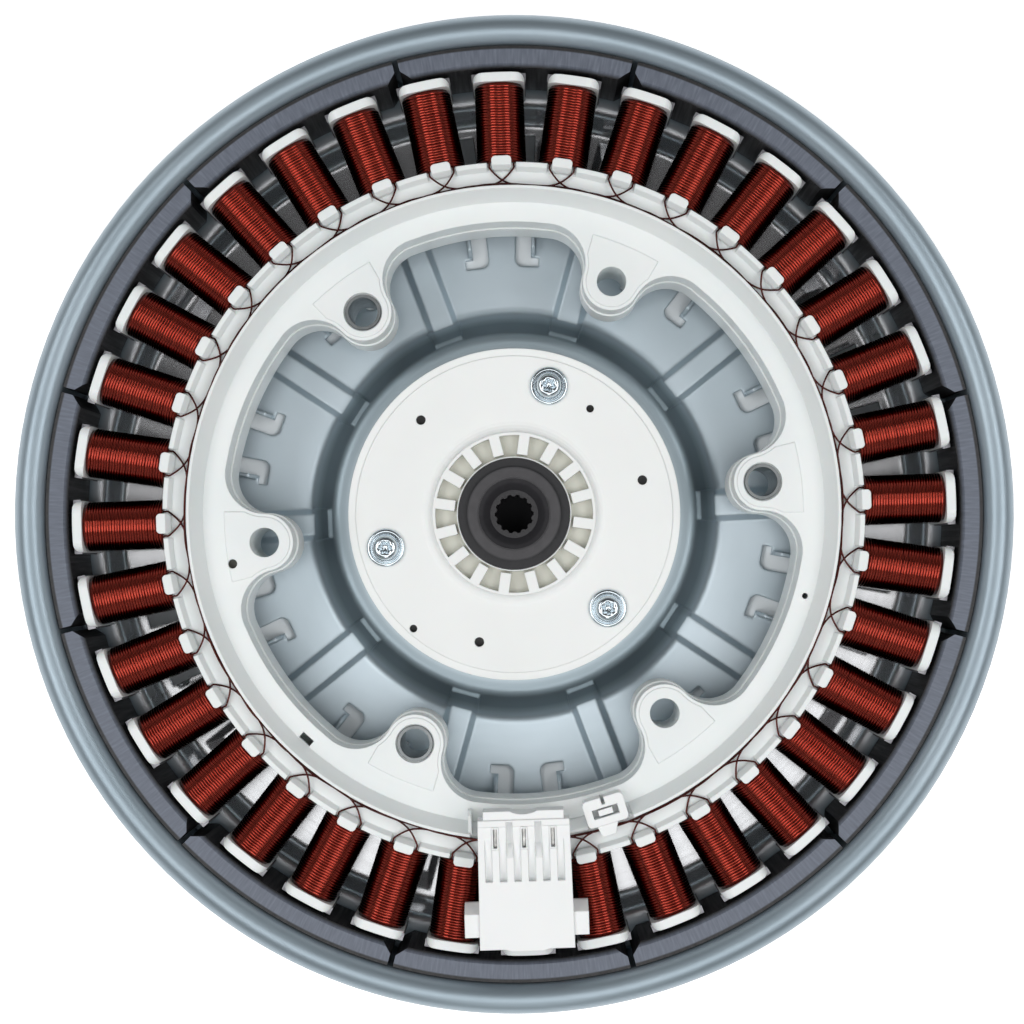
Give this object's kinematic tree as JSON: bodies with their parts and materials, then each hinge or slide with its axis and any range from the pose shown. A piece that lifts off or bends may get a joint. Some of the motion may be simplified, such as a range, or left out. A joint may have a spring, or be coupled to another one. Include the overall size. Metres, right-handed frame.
{
  "type": "washing machine direct drive motor",
  "caption": "Round outer-rotor motor: a wound stator with a white mounting ring and connector, lying in a steel rotor cup with magnets and a splined hub.",
  "frame": {"origin": "centre of the rotor cup's back face, on the shaft axis", "axes": "+Z along the shaft axis and out of the open side, -Y towards the power connector"},
  "size_m": [0.3, 0.3, 0.0601],
  "materials": {
    "lamination_steel": "stacked electrical sheet with fine lines along the stack",
    "insulator_plastic": "moulded cool white plastic, satin",
    "connector_plastic": "moulded white plastic, satin",
    "hub_plastic": "moulded white plastic, satin, with warmer pockets",
    "enamelled_copper": "deep red-brown enamel over copper wire",
    "tinned_terminals": "tinned blade",
    "zinc_steel": "bright zinc plate",
    "pressed_steel": "blue-grey coated sheet with a soft metallic sheen",
    "ferrite": "dark grey sintered ferrite with a streaky ground top",
    "black_bush": "black, satin"
  },
  "bodies": {
    "stator": {"stator_core": "lamination_steel", "front_insulator": "insulator_plastic", "rear_insulator": "insulator_plastic", "crossover_wires": "enamelled_copper", "power_connector": "connector_plastic", "power_terminals": "tinned_terminals", "lead_clip": "connector_plastic", "mounting_sleeves": "zinc_steel", "coil_01": "enamelled_copper", "coil_02": "enamelled_copper", "coil_03": "enamelled_copper", "coil_04": "enamelled_copper", "coil_05": "enamelled_copper", "coil_06": "enamelled_copper", "coil_07": "enamelled_copper", "coil_08": "enamelled_copper", "coil_09": "enamelled_copper", "coil_10": "enamelled_copper", "coil_11": "enamelled_copper", "coil_12": "enamelled_copper", "coil_13": "enamelled_copper", "coil_14": "enamelled_copper", "coil_15": "enamelled_copper", "coil_16": "enamelled_copper", "coil_17": "enamelled_copper", "coil_18": "enamelled_copper", "coil_19": "enamelled_copper", "coil_20": "enamelled_copper", "coil_21": "enamelled_copper", "coil_22": "enamelled_copper", "coil_23": "enamelled_copper", "coil_24": "enamelled_copper", "coil_25": "enamelled_copper", "coil_26": "enamelled_copper", "coil_27": "enamelled_copper", "coil_28": "enamelled_copper", "coil_29": "enamelled_copper", "coil_30": "enamelled_copper", "coil_31": "enamelled_copper", "coil_32": "enamelled_copper", "coil_33": "enamelled_copper", "coil_34": "enamelled_copper", "coil_35": "enamelled_copper", "coil_36": "enamelled_copper"},
    "rotor": {"rotor_cup": "pressed_steel", "rotor_hub": "hub_plastic", "spline_bush": "black_bush", "hub_screws": "zinc_steel", "magnet_01": "ferrite", "magnet_02": "ferrite", "magnet_03": "ferrite", "magnet_04": "ferrite", "magnet_05": "ferrite", "magnet_06": "ferrite", "magnet_07": "ferrite", "magnet_08": "ferrite", "magnet_09": "ferrite", "magnet_10": "ferrite", "magnet_11": "ferrite", "magnet_12": "ferrite"}
  },
  "joints": [
    {"name": "rotor_spin", "type": "hinge", "parent": "stator", "child": "rotor", "pos_m": [0, 0, 0], "axis": [0, 0, 1], "continuous": true}
  ]
}
